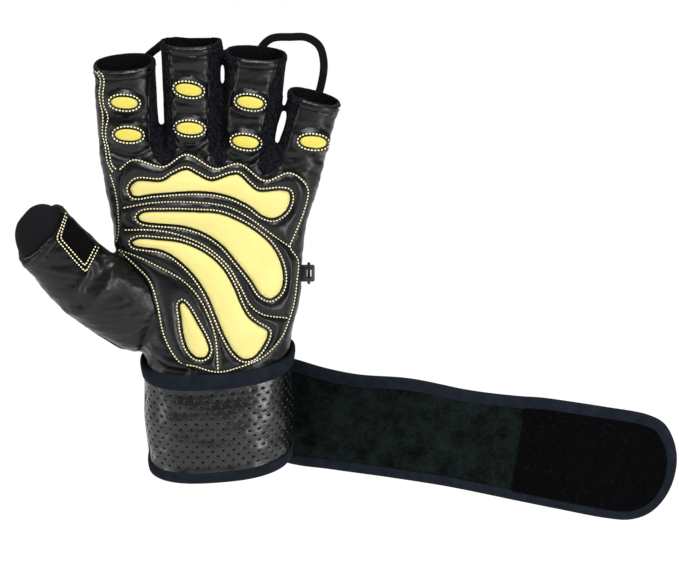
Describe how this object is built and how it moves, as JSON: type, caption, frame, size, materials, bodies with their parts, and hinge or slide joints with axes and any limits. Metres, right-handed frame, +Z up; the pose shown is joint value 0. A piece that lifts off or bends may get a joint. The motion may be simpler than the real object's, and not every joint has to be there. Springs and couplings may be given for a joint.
{
  "type": "weightlifting glove",
  "caption": "Half-finger weightlifting glove for the left hand, with a padded, stitched palm, mesh sides and a long hook-and-loop wrist strap, shown in its worn form.",
  "frame": {"origin": "centre of the cuff's lower opening, where the wrist goes in", "axes": "+Z up along the hand toward the fingers, -Y out of the palm, +X toward the little finger and the free end of the strap"},
  "size_m": [0.3148, 0.0566, 0.2274],
  "materials": {
    "leather": "soft black sheep leather, satin",
    "quilted_leather": "soft black leather, quilted over foam",
    "yellow_leather": "smooth pale yellow synthetic leather",
    "black_knit": "black stretch mesh knit",
    "suede": "black synthetic suede",
    "perforated_leather": "glossy black perforated leather",
    "binding_tape": "blue-black folded binding tape",
    "loop_fabric": "fuzzy black loop fabric",
    "hook_tape": "black nylon hook tape",
    "elastic_tape": "ribbed black elastic tape",
    "black_plastic": "moulded black plastic"
  },
  "bodies": {
    "root": {"palm_front": "leather", "palm_back": "black_knit", "thumb_front": "leather", "thumb_back": "leather", "index_front": "leather", "index_back": "black_knit", "middle_front": "leather", "middle_back": "black_knit", "ring_front": "leather", "ring_back": "black_knit", "little_front": "leather", "little_back": "black_knit", "fourchette_index_middle": "black_knit", "fourchette_middle_ring": "black_knit", "fourchette_ring_little": "black_knit", "palm_overlay": "quilted_leather", "inlay_knuckle": "yellow_leather", "inlay_upper": "yellow_leather", "inlay_lower": "yellow_leather", "inlay_teardrop": "yellow_leather", "pad_index_tip": "yellow_leather", "pad_index_root": "yellow_leather", "pad_middle_tip": "yellow_leather", "pad_middle_root": "yellow_leather", "pad_ring_tip": "yellow_leather", "pad_ring_root": "yellow_leather", "pad_little": "yellow_leather", "thumb_patch": "suede", "thumb_tip_cover": "black_knit", "cuff_front": "perforated_leather", "cuff_back": "black_knit", "cuff_bottom_binding": "binding_tape", "cuff_top_binding": "binding_tape", "strap_band": "loop_fabric", "strap_binding": "binding_tape", "strap_loop_panel": "loop_fabric", "strap_hook_patch": "hook_tape", "pull_loop_index_middle": "elastic_tape", "pull_loop_ring_little": "elastic_tape", "side_clip": "black_plastic", "side_clip_pin": "black_plastic"}
  },
  "joints": []
}
